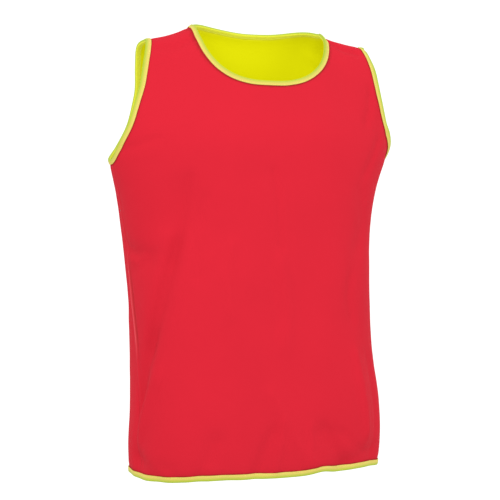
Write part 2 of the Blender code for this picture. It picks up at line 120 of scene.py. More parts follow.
# Uneven seat on the shoulders: name, place across, height
SHOULDER_TILT = (
    ("right tip", -0.184, 0.0012),
    ("right strap", -0.146, -0.0002),
    ("right neck point", -0.108, 0.0006),
    ("right side of the neck", -0.088, 0.0020),
    ("right of the nape", -0.050, 0.0020),
    ("nape", 0.000, 0.0010),
    ("left of the nape", 0.050, -0.0022),
    ("left side of the neck", 0.098, -0.0012),
    ("left neck point", 0.118, -0.0034),
    ("left strap", 0.146, 0.0004),
    ("left tip", 0.184, 0.0050),
)

# Waves of the hem: name, pattern angle in degrees, half width in degrees, height
HEM_WAVES = (
    ("right side", -68.0, 24.0, -0.0024),
    ("left of the middle", 12.0, 6.0, 0.0034),
    ("behind the right side seam, finer", -118.0, 15.0, 0.0040),
    ("right of the front, finer", -58.0, 20.0, -0.0016),
    ("left of the front, finer", 23.0, 9.0, -0.0018),
)
HEM_WAVE_START = 0.600

# Armhole edge below the shoulder tip: name, share of the armhole drop, front angle, back angle
ARMHOLE = (
    ("behind the tip", 0.10, 51.7, 53.7),
    ("shoulder", 0.30, 54.6, 52.0),
    ("front of shoulder", 0.50, 57.4, 50.6),
    ("chest point", 0.72, 62.9, 53.2),
    ("scoop", 0.89, 74.2, 62.8),
    ("under the arm", 0.975, 82.0, 76.0),
    ("underarm", 1.00, 90.0, 90.0),
)

# Main soft folds, as in the CAD, each along a line on the cloth. Angles are in degrees from the
# front of the body: name, half width, height, places as angle and drop
MAIN_FOLDS = (
    ("chest to right hip, trough", 0.019, -0.0040, ((-39.0, 0.290), (-76.0, 0.590))),
    ("chest to right hip, upper ridge", 0.016, 0.0022, ((-56.0, 0.390), (-68.0, 0.460))),
    ("chest to right hip, lower ridge", 0.018, 0.0025, ((-58.0, 0.560), (-74.0, 0.640))),
    ("right waist hollow", 0.018, -0.0030, ((-84.0, 0.365), (-60.0, 0.385))),
    ("right chest swell", 0.040, 0.0030, ((-46.0, 0.170), (-34.0, 0.250))),
    ("left chest swell", 0.034, 0.0020, ((20.0, 0.190), (26.0, 0.300))),
    ("middle ridge", 0.024, 0.0018, ((2.0, 0.330), (6.0, 0.500))),
    ("left waist trough", 0.018, -0.0020, ((44.0, 0.380), (38.0, 0.480))),
    ("left hip ridge", 0.018, 0.0025, ((40.0, 0.540), (46.0, 0.650))),
    ("front hem, right trough", 0.022, -0.0040, ((-76.0, 0.670), (-80.0, 0.710))),
    ("front hem, middle trough", 0.018, -0.0030, ((-30.0, 0.670), (-26.0, 0.710))),
    ("front hem, left trough", 0.018, -0.0030, ((24.0, 0.670), (30.0, 0.710))),
    ("left shoulder blade to waist", 0.022, -0.0035, ((140.0, 0.240), (108.0, 0.480))),
    ("right shoulder blade to waist", 0.020, -0.0030, ((214.0, 0.270), (248.0, 0.440))),
    ("small of the back", 0.024, -0.0040, ((160.0, 0.430), (206.0, 0.410))),
    ("back hip, left", 0.022, -0.0030, ((128.0, 0.520), (146.0, 0.640))),
    ("back hip, right", 0.022, 0.0030, ((222.0, 0.500), (210.0, 0.620))),
    ("back hem, middle trough", 0.020, -0.0035, ((184.0, 0.660), (178.0, 0.710))),
)

# Finer creases that lie on the main folds, in the same columns
CREASES = (
    ("diagonal, upper line", 0.007, -0.0024, ((-36, 0.262), (-41, 0.330), (-47, 0.386))),
    ("diagonal, middle line", 0.010, -0.0034, ((-45, 0.366), (-54, 0.446), (-65, 0.524))),
    ("diagonal, lower line", 0.012, -0.0034, ((-63, 0.510), (-72, 0.568), (-77, 0.605))),
    ("diagonal, light edge", 0.009, 0.0026, ((-50, 0.350), (-60, 0.430), (-70, 0.505))),
    ("diagonal, front edge", 0.014, 0.0026, ((-36, 0.360), (-48, 0.470), (-60, 0.556))),
    ("chest line, right of middle", 0.008, -0.0022, ((-30, 0.300), (-34, 0.350), (-36, 0.410))),
    ("right hip, light ridge", 0.011, 0.0040, ((-61, 0.575), (-70, 0.612), (-77, 0.660))),
    ("right hip, dark side", 0.012, -0.0022, ((-76, 0.600), (-82, 0.640), (-84, 0.690))),
    ("right waist, cross crease", 0.011, -0.0019, ((-90, 0.362), (-76, 0.376), (-58, 0.372))),
    ("right waist, second crease", 0.009, -0.0017, ((-82, 0.402), (-74, 0.398), (-63, 0.386))),
    ("right waist, ridge between", 0.006, 0.0016, ((-86, 0.380), (-74, 0.388), (-66, 0.380))),
    ("underarm crease", 0.006, -0.0022, ((-96, 0.236), (-99, 0.270), (-98, 0.305))),
    ("middle streak, high", 0.009, 0.0022, ((-20, 0.372), (-23, 0.420), (-22, 0.470))),
    ("middle line", 0.005, -0.0018, ((0, 0.262), (2, 0.310), (3, 0.372))),
    ("middle streak", 0.010, 0.0026, ((2, 0.400), (5, 0.470), (3, 0.520))),
    ("middle streak, low", 0.008, 0.0022, ((-5, 0.596), (4, 0.652), (13, 0.704))),
    ("left chest hollow", 0.016, -0.0030, ((46, 0.290), (50, 0.330), (48, 0.360))),
    ("left waist line", 0.007, -0.0018, ((40, 0.420), (38, 0.452), (40, 0.486))),
    ("left hip light line", 0.007, 0.0032, ((40, 0.545), (42, 0.600), (44, 0.668))),
    ("left hip dark edge", 0.012, -0.0032, ((52, 0.560), (54, 0.640), (52, 0.700))),
    ("right hem corner", 0.016, -0.0056, ((-82, 0.694), (-68, 0.706), (-60, 0.718))),
    ("right hem tuck", 0.012, -0.0027, ((-98, 0.724), (-72, 0.724), (-42, 0.726))),
    ("middle hem tuck", 0.011, -0.0034, ((-32, 0.722), (-24, 0.726))),
    ("right hem, second hollow", 0.010, -0.0020, ((-54, 0.700), (-50, 0.704), (-47, 0.714))),
    ("hem crease, right of middle", 0.010, -0.0026, ((-30, 0.668), (-32, 0.692), (-36, 0.716))),
    ("hem crease, middle", 0.009, -0.0030, ((-5, 0.655), (-8, 0.686), (-11, 0.716))),
    ("hem streak, middle", 0.005, 0.0020, ((0, 0.640), (-1, 0.680), (-2, 0.712))),
    ("hem crease, left", 0.010, -0.0030, ((20, 0.660), (25, 0.686), (31, 0.710))),
    ("left hem corner", 0.014, -0.0046, ((34, 0.710), (44, 0.704), (55, 0.696))),
    ("left hem tuck", 0.010, -0.0026, ((30, 0.722), (42, 0.722), (54, 0.721))),
    ("left hem fan, first line", 0.006, -0.0016, ((30, 0.664), (36, 0.684), (43, 0.696))),
    ("left hem fan, second line", 0.006, -0.0014, ((48, 0.640), (48, 0.668), (46, 0.694))),
    ("hem streaks, left", 0.005, 0.0020, ((13, 0.650), (14, 0.690), (17, 0.712))),
    ("right strap, cross crease", 0.007, -0.0034, ((-46, 0.036), (-38, 0.044), (-30, 0.038))),
    ("left strap, cross crease", 0.007, -0.0042, ((31, 0.022), (37, 0.032), (44, 0.030))),
    ("left shoulder tip, rolled down", 0.009, -0.0036, ((52, -0.004), (53, 0.014), (55, 0.036))),
    ("left chest, armhole crease", 0.007, -0.0022, ((49, 0.100), (48, 0.130), (45, 0.160))),
    ("left underarm crease", 0.008, -0.0026, ((54, 0.196), (51, 0.220), (47, 0.250))),
    ("left underarm, edge flared out", 0.008, 0.0017, ((68, 0.168), (76, 0.192), (84, 0.206))),
    ("left underarm, dip inside the edge", 0.007, -0.0018, ((64, 0.180), (70, 0.204), (80, 0.224))),
    ("right chest, armhole crease", 0.008, -0.0020, ((-70, 0.200), (-60, 0.196), (-50, 0.190))),
    ("back, left blade line", 0.009, -0.0040, ((142, 0.230), (128, 0.330), (114, 0.440))),
    ("back, left blade edge", 0.011, 0.0032, ((134, 0.240), (120, 0.340), (108, 0.430))),
    ("back, right blade line", 0.009, -0.0034, ((216, 0.250), (230, 0.340), (246, 0.430))),
    ("back, waist crease", 0.010, -0.0044, ((156, 0.436), (182, 0.424), (208, 0.412))),
    ("back, waist ridge", 0.011, 0.0034, ((160, 0.462), (184, 0.450), (206, 0.440))),
    ("back, second waist crease", 0.008, -0.0028, ((168, 0.486), (186, 0.480), (200, 0.466))),
    ("back, left hip line", 0.009, -0.0036, ((124, 0.510), (136, 0.580), (148, 0.650))),
    ("back, right hip line", 0.009, -0.0030, ((232, 0.520), (222, 0.590), (212, 0.660))),
    ("back hem crease, left", 0.008, -0.0036, ((140, 0.664), (144, 0.690), (146, 0.714))),
    ("back hem crease, middle", 0.008, -0.0040, ((186, 0.650), (182, 0.684), (178, 0.714))),
    ("back hem crease, right", 0.008, -0.0036, ((222, 0.668), (218, 0.692), (216, 0.714))),
    ("back, left strap crease", 0.008, -0.0026, ((136, 0.050), (144, 0.058), (150, 0.052))),
    ("back, right strap crease", 0.008, -0.0026, ((210, 0.052), (217, 0.060), (224, 0.050))),
    ("left side crease", 0.009, -0.0034, ((96, 0.300), (92, 0.360), (86, 0.420))),
    ("left side, waist crease", 0.009, -0.0030, ((80, 0.392), (94, 0.404), (110, 0.398))),
)

# Relief of a seam whose allowance is pressed to the front: name, place, half width, height
SEAM_RELIEF = (
    ("pull of the seam", -0.0010, 0.0110, -0.0010),
    ("hollow beside the ridge", -0.0066, 0.0020, -0.0026),
    ("ridge over the allowance", -0.0022, 0.0030, 0.0022),
)
# Painted highlight along the ridge over each side seam's allowance: place and half width
HIGHLIGHT_PLACE = -0.0022
HIGHLIGHT_HALF_WIDTH = 0.0024
# Painted shade in the hollow beside each side seam's ridge: place, half width and share
CREASE_SHADE_PLACE = -0.0062
CREASE_SHADE_HALF_WIDTH = 0.0018
CREASE_SHADE_SHARE = 0.55
# Share of the seam relief on the shoulders
SHOULDER_SEAM_STRENGTH = 0.55
# Share of that relief down the side: name, drop, share
SIDE_SEAM_STRENGTH = (
    ("underarm", 0.216, 0.35),
    ("ribs", 0.300, 0.30),
    ("above the waist", 0.370, 0.35),
    ("waist", 0.415, 0.95),
    ("belly", 0.505, 1.15),
    ("below the belly", 0.545, 0.35),
    ("above hem", 0.620, 0.12),
    ("hem", 0.722, 0.20),
)

# Half of the tape's section, from the end of a leg to the edge: name, share of the width from
# the edge, height over the cloth
TAPE_LEG = (
    ("foot", 1.000, 0.00030),
    ("selvedge", 1.020, 0.00062),
    ("selvedge top", 0.985, 0.00098),
    ("inside the selvedge", 0.920, 0.00112),
    ("edge of the sewing groove", 0.850, 0.00098),
    ("sewing groove", 0.790, 0.00086),
    ("other edge of the groove", 0.730, 0.00102),
    ("swell", 0.600, 0.00130),
    ("middle", 0.420, 0.00142),
    ("near the fold", 0.220, 0.00142),
    ("over the edge", 0.070, 0.00134),
)
FOLD_REACH = {"neck": 0.0009, "hem": 0.0022, "left": 0.0034, "right": 0.0014}
FOLD_ANGLES = (62.0, 40.0, 20.0, 0.0, -20.0, -40.0, -62.0)
SEWING_PLACE = 0.790

# Sewing thread
STITCH_PITCH = 0.0034
STITCH_LENGTH = 0.0029
THREAD_RADIUS = 0.00021

# Painted light: a glow of the tape, though it is no lamp, that lifts its shade, brighter on the inner leg
TAPE_PAINTED_GLOW = 0.26

# Camera and its picture
CAMERA_TURN = 21.4
CAMERA_DISTANCE = 2.72
CAMERA_HEIGHT = -0.3785
CAMERA_LENS = 123.9
CAMERA_SHIFT = (-0.0142, 0.0378)

FLOOR_HEIGHT = -1.45


def smooth_at(places, values, spot):
    """Smooth curve through the values of a short table."""
    places, values = np.array(places), np.array(values)
    last = len(places) - 1
    low = np.clip(np.searchsorted(places, spot, side="right") - 1, 0, last - 1)
    before = np.maximum(np.arange(last + 1) - 1, 0)
    after = np.minimum(np.arange(last + 1) + 1, last)
    slope = (values[after] - values[before]) / (places[after] - places[before])
    span = places[low + 1] - places[low]
    t = np.clip((spot - places[low]) / span, 0.0, 1.0)
    value = (2.0 * t**3 - 3.0 * t**2 + 1.0) * values[low]
    value += (t**3 - 2.0 * t**2 + t) * span * slope[low]
    value += (3.0 * t**2 - 2.0 * t**3) * values[low + 1]
    value += (t**3 - t**2) * span * slope[low + 1]
    return value


def from_rows(column, drop):
    """Smooth value of one column of the sections at each drop."""
    return smooth_at([row[1] for row in SECTIONS], [row[SECTION_COLUMNS[column]] for row in SECTIONS], drop)


def fall(drop):
    """Height lost below the shoulder line after a drop along the cloth."""
    return SHOULDER_ROLL * np.log(np.cosh(drop / SHOULDER_ROLL))


def shoulder_height(x):
    """Height of the shoulder line, zero at the neck points."""
    whole = 1.0 - np.exp(-SHOULDER_RUN / SHOULDER_SAG)
    steepness = SHOULDER_FALL / SHOULDER_SAG / whole
    beyond = np.abs(x) - NECK_HALF_WIDTH
    outside = -SHOULDER_FALL * (1.0 - np.exp(-np.maximum(beyond, 0.0) / SHOULDER_SAG)) / whole
    inside = steepness * NECK_RISE_RUN * (1.0 - np.exp(np.minimum(beyond, 0.0) / NECK_RISE_RUN))
    return np.where(beyond > 0.0, outside, inside)


def shoulder_tilt(x):
    """Height added by the uneven seat on the shoulders."""
    return smooth_at([row[1] for row in SHOULDER_TILT], [row[2] for row in SHOULDER_TILT], x)


def hem_wave(angle, drop):
    """Height added by the waves of the hem."""
    total = np.zeros_like(angle)
    for name, centre, half_width, height in HEM_WAVES:
        away = turn_between(angle, radians(centre)) / radians(half_width)
        total += height * np.exp(-(away**2))
    return total * eased((drop - HEM_WAVE_START) / (BODY_DROP - HEM_WAVE_START))


def squared(angle, squareness):
    """Factor that fills out a ring between its front and its side."""
    return 1.0 + squareness * np.sin(2.0 * angle) ** 2


def turn_between(angle, other):
    """Signed angle from one ring angle to another, the short way round."""
    return (angle - other + pi) % (2.0 * pi) - pi


def eased(t):
    """Smooth rise from 0 to 1."""
    t = np.clip(t, 0.0, 1.0)
    return t * t * (3.0 - 2.0 * t)


def left_side(angle):
    """Share of the left side's lift at a ring angle, none at the right side."""
    turn = turn_between(angle, radians(LIFT_ANGLE))
    return 0.25 * (1.0 + np.tanh(turn / radians(LIFT_SPREAD))) * (1.0 + np.tanh(3.0 * (2.2 - turn)))


def fold_height(angle, drop, folds):
    """Sum of soft troughs and ridges, each at its nearest place along its line."""
    total = np.zeros_like(angle)
    for name, half_width, height, places in folds:
        nearest = np.full_like(angle, 1.0e9)
        for start, end in zip(places, places[1:]):
            across = turn_between(angle, radians(start[0])) * GIRTH_SCALE
            down = drop - start[1]
            run_across = radians(end[0] - start[0]) * GIRTH_SCALE
            run_down = end[1] - start[1]
            length = np.hypot(run_across, run_down)
            along = (across * run_across + down * run_down) / length
            aside = (across * run_down - down * run_across) / length
            first, final = start is places[0], end is places[-1]
            over = np.maximum(-along, along - length)
            ends = np.where(-along > along - length, first, final)
            stretch = np.where(ends, 1.6, 1.0) * half_width
            away = (aside / half_width) ** 2 + (np.maximum(over, 0.0) / stretch) ** 2
            nearest = np.minimum(nearest, away)
        total += height * np.exp(-nearest)
    return total


def body_angle(angle, drop):
    """Ring angle after the cloth's twist round the body."""
    return angle + np.radians(from_rows("twist", fall(drop)))


def cloth_point(angle, drop):
    """Points on the outside of the outer layer."""
    angle, drop = np.asarray(angle, float), np.asarray(drop, float)
    down = fall(drop)
    wave = hem_wave(angle, drop)
    angle = body_angle(angle, drop)
    lean = from_rows("lean", down)
    factor = squared(angle, from_rows("squareness", down))
    front = from_rows("front_depth", down) + lean
    back = from_rows("back_depth", down) - lean
    depth = np.where(np.cos(angle) >= 0.0, front, back)
    x = from_rows("half_width", down) * np.sin(angle) * factor
    y = np.tanh(drop / SHOULDER_ROLL) * (lean - depth * np.cos(angle) * factor)
    z = shoulder_height(x) * np.exp(-((drop / SHOULDER_FADE) ** 2)) - down
    z += shoulder_tilt(x) * np.exp(-((drop / TILT_FADE) ** 2)) + wave
    z += from_rows("left_lift", down) * left_side(angle)
    bulge = fold_height(angle, drop, MAIN_FOLDS)
    x += from_rows("sway", down) + bulge * np.sin(angle)
    return np.stack((x, y - bulge * np.cos(angle), z), axis=-1)


def unit(vectors):
    """The same directions with length 1."""
    return vectors / np.maximum(np.linalg.norm(vectors, axis=-1, keepdims=True), 1e-12)


def cloth_slopes(angle, drop):
    """Change of the cloth points with the angle and with the drop."""
    step = 0.0005
    by_angle = (cloth_point(angle + step, drop) - cloth_point(angle - step, drop)) / (2.0 * step)
    by_drop = (cloth_point(angle, drop + step) - cloth_point(angle, drop - step)) / (2.0 * step)
    return by_angle, by_drop


def cloth_normal(angle, drop):
    """Outward directions of the cloth."""
    by_angle, by_drop = cloth_slopes(angle, drop)
    return unit(np.cross(by_drop, by_angle))


def rough_noise(places, size, seed):
    """Smooth uneven values from about -1 to 1 whose swells are as long as a size."""
    shift = Vector((17.3 * seed, 5.1 * seed, 9.7 * seed))
    return np.array([noise.noise(Vector(place) / size + shift) for place in places])


def seam_relief(distance):
    """Height across a seam, at a distance that is positive on the back."""
    total = np.zeros_like(distance)
    for name, place, half_width, height in SEAM_RELIEF:
        total += height * np.exp(-(((distance - place) / half_width) ** 2))
    return total


def worn(angle, drop, edge_distance=None):
    """Places of the cloth with its creases and seams, and its outward directions."""
    angle, drop = np.asarray(angle, float), np.asarray(drop, float)
    shape = angle.shape
    angle, drop = angle.ravel(), drop.ravel()
    places = cloth_point(angle, drop)
    by_angle, by_drop = cloth_slopes(angle, drop)
    normals = unit(np.cross(by_drop, by_angle))
    girth = np.linalg.norm(by_angle, axis=1)

    height = fold_height(body_angle(angle, drop), drop, CREASES)
    height += 0.00060 * rough_noise(places, 0.060, 1)
    height += 0.00022 * rough_noise(places, 0.022, 2)

    uneven = 0.75 + 0.45 * rough_noise(places, 0.030, 3)
    back = np.abs(turn_between(angle, 0.0)) > 0.5 * pi
    side_drops, strengths = zip(*[row[1:] for row in SIDE_SEAM_STRENGTH])
    along_side = np.interp(drop, side_drops, strengths)
    for side in (0.5 * pi, -0.5 * pi):
        distance = turn_between(angle, side) * girth * (1.0 if side > 0.0 else -1.0)
        height += along_side * uneven * seam_relief(distance) * (drop > 0.5 * ARMHOLE_DROP)
    shoulder = seam_relief(np.where(back, drop, -drop)) * (drop < 0.5 * ARMHOLE_DROP)
    height += SHOULDER_SEAM_STRENGTH * uneven * shoulder

    if edge_distance is not None:
        beyond = np.maximum(edge_distance - TAPE_WIDTH, 0.0)
        pucker = beyond / 0.003 * np.exp(1.0 - beyond / 0.003)
        pinch = beyond / PINCH_REACH * np.exp(1.0 - beyond / PINCH_REACH)
        height += 0.00028 * pucker * rough_noise(places, 0.0085, 4) - PINCH_DEPTH * pinch * uneven
    places = places + normals * height[:, None]
    return places.reshape(shape + (3,)), normals.reshape(shape + (3,))


def along_side_seams(angle, drop, place, half_width):
    """Share of a line that runs beside both side seams at a place, strong where they stand out."""
    by_angle, _ = cloth_slopes(angle, drop)
    girth = np.linalg.norm(by_angle, axis=1)
    side_drops, strengths = zip(*[row[1:] for row in SIDE_SEAM_STRENGTH])
    along_side = np.interp(drop, side_drops, strengths) * (drop > 0.5 * ARMHOLE_DROP)
    total = np.zeros_like(angle)
    for side in (0.5 * pi, -0.5 * pi):
        distance = turn_between(angle, side) * girth * (1.0 if side > 0.0 else -1.0)
        total += along_side**2 * np.exp(-(((distance - place) / half_width) ** 2))
    return total


def angle_at(x, drop):
    """Front ring angle where the form, before its sway, is x wide at a drop."""
    x, drop = np.broadcast_arrays(np.asarray(x, float), np.asarray(drop, float))
    down = fall(drop)
    half_width = from_rows("half_width", down)
    squareness = from_rows("squareness", down)
    low, high = np.zeros_like(x), np.full_like(x, 0.5 * pi)
    for _ in range(40):
        middle = 0.5 * (low + high)
        narrow = half_width * np.sin(middle) * squared(middle, squareness) < x
        low, high = np.where(narrow, middle, low), np.where(narrow, high, middle)
    return low


def ring_angle(side, turn):
    """Ring angle of a pattern angle on the front or the back."""
    return turn if side == "front" else pi - turn


def neckline(side, share):
    """Pattern points of the neck edge, from the centre at 0 to the high shoulder point at 1."""
    drop, roundness = FRONT_NECK_DROP, FRONT_NECK_ROUNDNESS
    if side == "back":
        drop, roundness = BACK_NECK_DROP, BACK_NECK_ROUNDNESS
    turn = 0.5 * pi * share
    x = NECK_HALF_WIDTH * np.maximum(np.sin(turn), 0.0) ** (2.0 / roundness)
    down = drop * np.maximum(np.cos(turn), 0.0) ** (2.0 / roundness)
    down[share > 0.999999] = 0.0
    return np.column_stack((angle_at(x, down), down))


def armhole(side, share):
    """Pattern points of the armhole edge, from the shoulder tip at 0 to the underarm at 1."""
    tip = (float(angle_at(SHOULDER_TIP, 0.0)), 0.0)
    rows = {"front": [tip], "back": [tip]}
    for name, part, front_angle, back_angle in ARMHOLE:
        rows["front"].append((radians(front_angle), part * ARMHOLE_DROP))
        rows["back"].append((radians(back_angle), part * ARMHOLE_DROP))
    own = rows[side]
    other = rows["back" if side == "front" else "front"]
    before = (other[1][0], -other[1][1])
    after = (pi - other[-2][0], other[-2][1])
    knots = np.array([before] + own + [after])
    place = np.minimum(share, 0.999999) * (len(own) - 1)
    i = place.astype(int)
    t = (place - i)[:, None]
    p0, p1, p2, p3 = knots[i], knots[i + 1], knots[i + 2], knots[i + 3]
    value = 2.0 * p1 + (p2 - p0) * t + (2.0 * p0 - 5.0 * p1 + 4.0 * p2 - p3) * t**2
    value += (3.0 * p1 - p0 - 3.0 * p2 + p3) * t**3
    return 0.5 * value


def hemline(side, share):
    """Pattern points of the hem, from the centre at 0 to the side seam at 1."""
    return np.column_stack((0.5 * pi * share, np.full_like(share, BODY_DROP)))


def evenly(curve, side, step):
    """Pattern points along an edge, evenly spaced on the worn cloth."""
    points = curve(side, np.linspace(0.0, 1.0, 900))
    places = cloth_point(ring_angle(side, points[:, 0]), points[:, 1])
    run = np.linalg.norm(np.diff(places, axis=0), axis=1)
    length = np.concatenate(([0.0], np.cumsum(run)))
    target = np.linspace(0.0, length[-1], max(2, round(length[-1] / step)) + 1)
    return np.column_stack([np.interp(target, length, points[:, k]) for k in (0, 1)])


def stepped_in(side, points, distance):
    """Pattern points at a distance inside an edge, square to it on the worn cloth."""
    last = len(points) - 1
    number = np.arange(last + 1)
    along = points[np.minimum(number + 1, last)] - points[np.maximum(number - 1, 0)]
    by_turn, by_drop = cloth_slopes(ring_angle(side, points[:, 0]), points[:, 1])
    if side == "back":
        by_turn = -by_turn
    e = (by_turn * by_turn).sum(axis=1)
    f = (by_turn * by_drop).sum(axis=1)
    g = (by_drop * by_drop).sum(axis=1)
    square = np.column_stack((f * along[:, 0] + g * along[:, 1], -e * along[:, 0] - f * along[:, 1]))
    run = by_turn * square[:, :1] + by_drop * square[:, 1:]
    return points + square * distance / np.linalg.norm(run, axis=1)[:, None]


def seam_turn(drop, distance):
    """Pattern angle at a distance from the side seam."""
    by_angle, _ = cloth_slopes(np.full_like(drop, 0.5 * pi), drop)
    return 0.5 * pi - distance / np.linalg.norm(by_angle, axis=1)


def seam_drop(turn, distance):
    """Drop at a distance from the shoulder seam."""
    _, by_drop = cloth_slopes(turn, np.zeros_like(turn))
    return distance / np.linalg.norm(by_drop, axis=1)


def mirrored(points):
    """The same pattern points on the other half, in the opposite order."""
    return points[::-1] * (-1.0, 1.0)


def panel_outline(side):
    """Closed outline of a panel, drawn up to its seams by their sewing."""
    hem = evenly(hemline, side, CELL)
    arm = evenly(armhole, side, CELL)[::-1]
    neck = evenly(neckline, side, CELL)[::-1]
    hem[-1, 0] = seam_turn(hem[-1:, 1], 0.5 * SEWN_GAP)[0]
    arm[0, 0] = seam_turn(arm[:1, 1], 0.5 * SEWN_GAP)[0]
    arm[-1, 1] = seam_drop(arm[-1:, 0], 0.5 * SEWN_GAP)[0]
    neck[0, 1] = seam_drop(neck[:1, 0], 0.5 * SEWN_GAP)[0]
    neck[-1, 0] = 0.0

    rows = round((BODY_DROP - ARMHOLE_DROP) / CELL)
    drops = np.linspace(BODY_DROP, ARMHOLE_DROP, rows + 1)[1:-1]
    side_seam = np.column_stack((seam_turn(drops, 0.5 * SEWN_GAP), drops))
    count = round((SHOULDER_TIP - NECK_HALF_WIDTH) / CELL)
    turns = np.linspace(arm[-1, 0], neck[0, 0], count + 1)[1:-1]
    shoulder = np.column_stack((turns, seam_drop(turns, 0.5 * SEWN_GAP)))
    right = np.concatenate((hem[1:], side_seam, arm, shoulder, neck[:-1]))
    return np.concatenate((hem[:1], right, neck[-1:], mirrored(right)))


def flat_columns(side):
    """Matching pattern angles and distances round the waist, to lay a panel flat."""
    turns = np.linspace(-0.5 * pi, 0.5 * pi, 361)
    places = cloth_point(ring_angle(side, turns), np.full_like(turns, 0.40))
    run = np.linalg.norm(np.diff(places, axis=0), axis=1)
    length = np.concatenate(([0.0], np.cumsum(run)))
    return turns, length - np.interp(0.0, turns, length)


def inside(points, loop):
    """Whether each point of the flat panel lies inside a loop."""
    result = np.zeros(len(points), bool)
    x, y = points[:, 0], points[:, 1]
    for (x1, y1), (x2, y2) in zip(loop, np.roll(loop, -1, axis=0)):
        if y1 != y2:
            crossed = (y1 > y) != (y2 > y)
            result ^= crossed & (x < (x2 - x1) * (y - y1) / (y2 - y1) + x1)
    return result


def distance_to(points, line):
    """Shortest distance in the flat panel from each point to a line."""
    best = np.full(len(points), 1.0e9)
    for start, end in zip(line, line[1:]):
        run = end - start
        t = np.clip(((points - start) @ run) / max(run @ run, 1e-12), 0.0, 1.0)
        best = np.minimum(best, np.linalg.norm(points - start - t[:, None] * run, axis=1))
    return best


def panel_net(side):
    """Pattern points of a panel, its flat places, its faces and its distance from the tapes."""
    turns, lengths = flat_columns(side)
    outline = panel_outline(side)

    def flat(points):
        return np.column_stack((np.interp(points[:, 0], turns, lengths), -points[:, 1]))

    extra = []
    drops = np.arange(ARMHOLE_DROP + 0.004, BODY_DROP - 0.002, CELL)
    shoulder_turns = np.linspace(angle_at(NECK_HALF_WIDTH, 0.0), angle_at(SHOULDER_TIP, 0.0), 20)[1:-1]
    for distance in SEAM_STEPS:
        extra.append(np.column_stack((seam_turn(drops, distance), drops)))
        extra.append(np.column_stack((shoulder_turns, seam_drop(shoulder_turns, distance))))
    for curve in (hemline, armhole, neckline):
        edge = evenly(curve, side, CELL)
        edge = edge if curve is hemline else edge[::-1]
        for distance in PINCH_STEPS:
            extra.append(stepped_in(side, edge, TAPE_WIDTH + distance)[1:-1])
    extra = np.concatenate(extra)
    extra = np.concatenate((extra, mirrored(extra)))

    loop = flat(outline)
    closed = np.concatenate((loop, loop[:1]))
    seam_lines = flat(extra)
    seam_lines = seam_lines[inside(seam_lines, loop)]
    seam_lines = seam_lines[distance_to(seam_lines, closed) > 0.5 * SEAM_STEPS[0]]
    columns = np.arange(-70, 71) * CELL
    rows = np.arange(0.5 * CELL, BODY_DROP, CELL)
    lattice = np.array([(x, -y) for y in rows for x in columns])
    lattice = lattice[(lattice[:, 0] > lengths[0]) & (lattice[:, 0] < lengths[-1])]
    lattice = lattice[inside(lattice, loop)]
    lattice = lattice[distance_to(lattice, closed) > 0.55 * CELL]
    nearest_seam = np.full(len(lattice), 1.0e9)
    for spot in seam_lines:
        nearest_seam = np.minimum(nearest_seam, np.hypot(*(lattice - spot).T))
    lattice = lattice[nearest_seam > 0.6 * CELL]

    spots = np.concatenate((loop, seam_lines, lattice))
    count = len(loop)
    border = [(i, (i + 1) % count) for i in range(count)]
    vectors = [Vector(spot) for spot in spots]
    found, _, faces, _, _, _ = delaunay_2d_cdt(vectors, border, [list(range(count))], 1, 1e-7)
    found = np.array([tuple(spot) for spot in found])
    points = np.column_stack((np.interp(found[:, 0], lengths, turns), -found[:, 1]))

    hem = evenly(hemline, side, CELL)
    arm = evenly(armhole, side, CELL)
    neck = evenly(neckline, side, CELL)
    away = np.full(len(points), 1.0e9)
    for line in (hem, arm, neck):
        away = np.minimum(away, distance_to(found, flat(line)))
        away = np.minimum(away, distance_to(found, flat(mirrored(line))))
    return points, found, faces, away


def add_mesh(name, places, faces):
    """Smooth object of points and faces, with its place in its mesh."""
    mesh = bpy.data.meshes.new(name)
    mesh.from_pydata([tuple(place) for place in places], [], faces)
    mesh.shade_smooth()
    piece = bpy.data.objects.new(name, mesh)
    bpy.context.scene.collection.objects.link(piece)
    return piece


